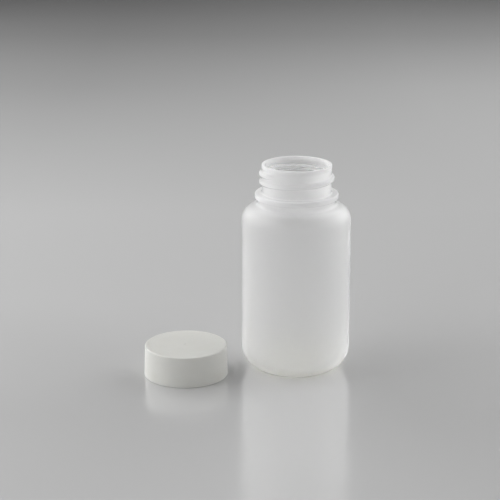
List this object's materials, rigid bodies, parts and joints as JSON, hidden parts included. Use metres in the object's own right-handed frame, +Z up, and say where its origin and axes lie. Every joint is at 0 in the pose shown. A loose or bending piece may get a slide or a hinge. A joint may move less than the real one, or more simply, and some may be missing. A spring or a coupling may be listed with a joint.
{
  "type": "wide-mouth plastic reagent bottle",
  "caption": "Translucent round wide-mouth plastic bottle standing open, with its lined screw cap lying beside it, for holding lab reagents.",
  "frame": {"origin": "centre of the ring the bottle stands on, on the bottle's axis", "axes": "+Z up the bottle's axis and out of its mouth; +X to the right with the cap lying on the -X side; -Y towards the viewer"},
  "size_m": [0.0912, 0.0521, 0.0933],
  "materials": {
    "natural_plastic": "translucent, satin blown surface",
    "cap_plastic": "opaque warm off-white, fine satin moulded surface",
    "liner_foam": "soft closed-cell foam with a smooth skin"
  },
  "bodies": {
    "bottle": {"bottle": "natural_plastic"},
    "cap_liner": {"cap_liner": "liner_foam"},
    "screw_cap": {"screw_cap": "cap_plastic"}
  },
  "joints": [
    {"name": "cap_lift", "type": "slide", "parent": "bottle", "child": "cap_liner", "axis": [0, 0, 1], "range_m": [0, 0.1]},
    {"name": "cap_turn", "type": "hinge", "parent": "cap_liner", "child": "screw_cap", "pos_m": [-0.0487, -0.0096, 0], "axis": [0, 0, 1], "continuous": true}
  ]
}
